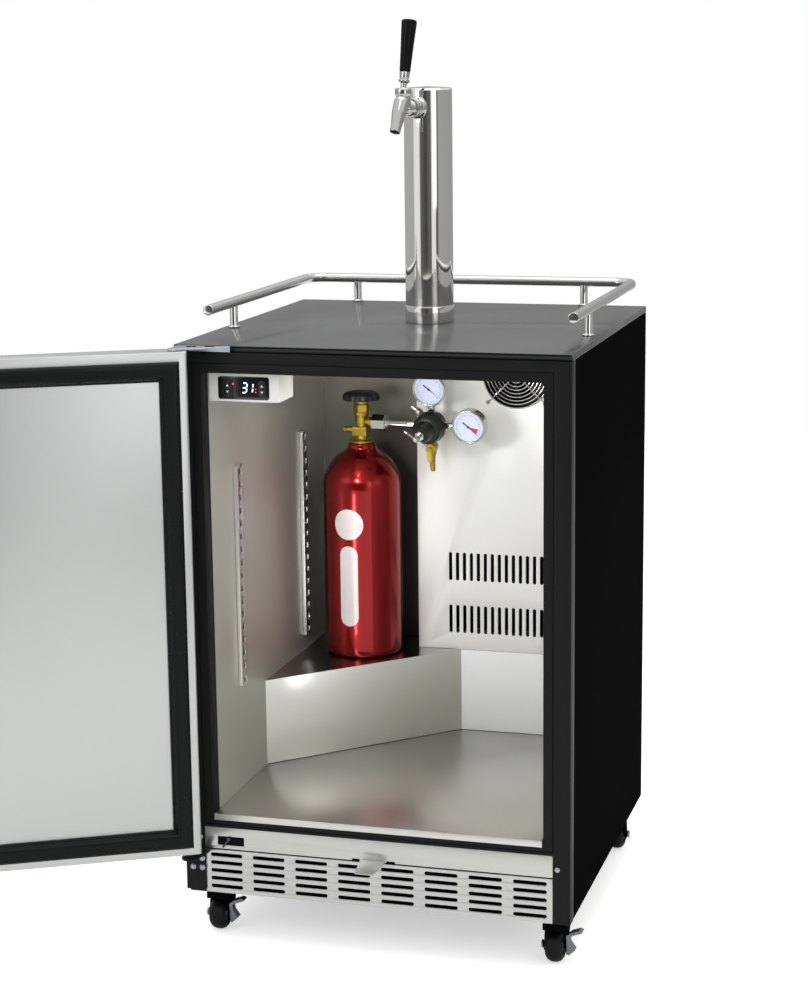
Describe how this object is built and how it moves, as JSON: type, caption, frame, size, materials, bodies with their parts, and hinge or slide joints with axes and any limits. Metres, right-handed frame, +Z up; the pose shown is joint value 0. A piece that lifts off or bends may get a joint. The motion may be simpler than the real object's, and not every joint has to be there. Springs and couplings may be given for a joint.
{
  "type": "kegerator",
  "caption": "Undercounter beer fridge on casters with a chrome tap tower, guard rail, hinged door, and a gas cylinder and regulator inside.",
  "frame": {"origin": "middle of the bounding box of the whole object, with its door open, at floor level under the casters", "axes": "+Z up, -Y towards the person who opens the door, +X to that person's right"},
  "size_m": [1.1248, 0.9594, 1.4048],
  "materials": {
    "black_paint": "satin",
    "black_frame": "satin",
    "worktop": "satin",
    "stainless": "satin",
    "liner_steel": "satin",
    "chrome": "polished",
    "zinc": "satin",
    "brass": "satin",
    "cylinder_red": "gloss",
    "black_plastic": "satin",
    "white_plastic": "satin",
    "gasket": "satin",
    "gauge": "satin",
    "coil": "satin",
    "compressor": "satin",
    "tyre": "satin"
  },
  "bodies": {
    "cabinet": {"side_wall_left": "black_paint", "side_wall_right": "black_paint", "back_wall": "black_paint", "roof_panel": "black_paint", "worktop": "worktop", "front_frame": "black_frame", "base_pan": "black_paint", "inner_liner": "liner_steel", "floor_panel": "liner_steel", "compressor_cover": "liner_steel", "duct_cover": "liner_steel", "evaporator": "coil", "fan_motor": "black_plastic", "fan_guard": "chrome", "shelf_track_front": "liner_steel", "shelf_track_rear": "liner_steel", "controller_housing": "white_plastic", "kick_panel": "stainless", "grille": "stainless", "condenser": "coil", "compressor": "compressor", "top_hinge": "zinc", "bottom_hinge": "black_paint", "guard_rail": "stainless", "tower_column": "chrome", "faucet_shank": "chrome", "faucet_nut": "chrome", "faucet_body": "chrome", "co2_cylinder": "cylinder_red", "cylinder_valve": "brass", "regulator_inlet": "chrome", "regulator_body": "black_paint", "gauge_outlet": "gauge", "gauge_cylinder": "gauge", "shutoff_valve": "brass"},
    "door": {"door_shell": "stainless", "door_liner": "stainless", "door_gasket": "gasket", "door_handle": "stainless"},
    "fan": {"fan_rotor": "black_plastic"},
    "tap": {"faucet_lever": "chrome", "tap_handle": "black_plastic"},
    "handwheel": {"cylinder_handwheel": "black_plastic"},
    "adjusting_screw": {"regulator_screw": "chrome"},
    "shutoff": {"shutoff_lever": "brass"},
    "power_switch": {"power_switch": "black_plastic"},
    "key_left_up": {"key_left_up": "black_plastic"},
    "key_left_down": {"key_left_down": "black_plastic"},
    "key_right_up": {"key_right_up": "black_plastic"},
    "key_right_down": {"key_right_down": "black_plastic"},
    "fork_front_left": {"caster_fork_front_left": "black_paint"},
    "wheel_front_left": {"caster_wheel_front_left": "tyre"},
    "fork_front_right": {"caster_fork_front_right": "black_paint"},
    "wheel_front_right": {"caster_wheel_front_right": "tyre"},
    "fork_rear_left": {"caster_fork_rear_left": "black_paint"},
    "wheel_rear_left": {"caster_wheel_rear_left": "tyre"},
    "fork_rear_right": {"caster_fork_rear_right": "black_paint"},
    "wheel_rear_right": {"caster_wheel_rear_right": "tyre"},
    "brake_front_left": {"brake_lever_front_left": "zinc"},
    "brake_front_right": {"brake_lever_front_right": "zinc"}
  },
  "joints": [
    {"name": "door_hinge", "type": "hinge", "parent": "cabinet", "child": "door", "pos_m": [-0.03664, -0.17332, 0.543], "axis": [0, 0, 1], "range_deg": [-8.6, 151.4]},
    {"name": "fan_spin", "type": "hinge", "parent": "cabinet", "child": "fan", "pos_m": [0.35236, 0.39468, 0.828], "axis": [0, 1, 0], "continuous": true},
    {"name": "key_left_up_press", "type": "slide", "parent": "cabinet", "child": "key_left_up", "axis": [0, 1, 0], "range_m": [0, 0.001], "stiffness_N_per_m": 300},
    {"name": "key_left_down_press", "type": "slide", "parent": "cabinet", "child": "key_left_down", "axis": [0, 1, 0], "range_m": [0, 0.001], "stiffness_N_per_m": 300},
    {"name": "key_right_up_press", "type": "slide", "parent": "cabinet", "child": "key_right_up", "axis": [0, 1, 0], "range_m": [0, 0.001], "stiffness_N_per_m": 300},
    {"name": "key_right_down_press", "type": "slide", "parent": "cabinet", "child": "key_right_down", "axis": [0, 1, 0], "range_m": [0, 0.001], "stiffness_N_per_m": 300},
    {"name": "power_switch_turn", "type": "hinge", "parent": "cabinet", "child": "power_switch", "pos_m": [0.01386, -0.13732, 0.1665], "axis": [0, 1, 0], "range_deg": [0, 45]},
    {"name": "tap_lever_pivot", "type": "hinge", "parent": "cabinet", "child": "tap", "pos_m": [0.23408, 0.12101, 1.299], "axis": [0.9848, -0.1736, 0], "range_deg": [0, 35]},
    {"name": "handwheel_turn", "type": "hinge", "parent": "cabinet", "child": "handwheel", "pos_m": [0.09336, 0.33768, 0.79], "axis": [0, 0, 1], "range_deg": [0, 630]},
    {"name": "adjusting_screw_turn", "type": "hinge", "parent": "cabinet", "child": "adjusting_screw", "pos_m": [0.21987, 0.32661, 0.7456], "axis": [-0.0863, -0.9865, -0.1392], "range_deg": [-450, 450]},
    {"name": "shutoff_lever_turn", "type": "hinge", "parent": "cabinet", "child": "shutoff", "pos_m": [0.21736, 0.33228, 0.70698], "axis": [0.0863, 0.9865, 0.1392], "range_deg": [0, 90]},
    {"name": "caster_swivel_front_left", "type": "hinge", "parent": "cabinet", "child": "fork_front_left", "pos_m": [-0.02064, -0.07232, 0.067], "axis": [0, 0, 1], "continuous": true},
    {"name": "wheel_roll_front_left", "type": "hinge", "parent": "fork_front_left", "child": "wheel_front_left", "pos_m": [-0.02064, -0.09032, 0.0254], "axis": [1, 0, 0], "continuous": true},
    {"name": "brake_pedal_front_left", "type": "hinge", "parent": "fork_front_left", "child": "brake_front_left", "pos_m": [-0.00164, -0.09032, 0.0254], "axis": [1, 0, 0], "range_deg": [-25, 0]},
    {"name": "caster_swivel_front_right", "type": "hinge", "parent": "cabinet", "child": "fork_front_right", "pos_m": [0.51936, -0.07232, 0.067], "axis": [0, 0, 1], "continuous": true},
    {"name": "wheel_roll_front_right", "type": "hinge", "parent": "fork_front_right", "child": "wheel_front_right", "pos_m": [0.51936, -0.09032, 0.0254], "axis": [1, 0, 0], "continuous": true},
    {"name": "brake_pedal_front_right", "type": "hinge", "parent": "fork_front_right", "child": "brake_front_right", "pos_m": [0.53836, -0.09032, 0.0254], "axis": [1, 0, 0], "range_deg": [-25, 0]},
    {"name": "caster_swivel_rear_left", "type": "hinge", "parent": "cabinet", "child": "fork_rear_left", "pos_m": [-0.02064, 0.40268, 0.067], "axis": [0, 0, 1], "continuous": true},
    {"name": "wheel_roll_rear_left", "type": "hinge", "parent": "fork_rear_left", "child": "wheel_rear_left", "pos_m": [-0.02064, 0.42068, 0.0254], "axis": [1, 0, 0], "continuous": true},
    {"name": "caster_swivel_rear_right", "type": "hinge", "parent": "cabinet", "child": "fork_rear_right", "pos_m": [0.51936, 0.40268, 0.067], "axis": [0, 0, 1], "continuous": true},
    {"name": "wheel_roll_rear_right", "type": "hinge", "parent": "fork_rear_right", "child": "wheel_rear_right", "pos_m": [0.51936, 0.42068, 0.0254], "axis": [1, 0, 0], "continuous": true}
  ]
}
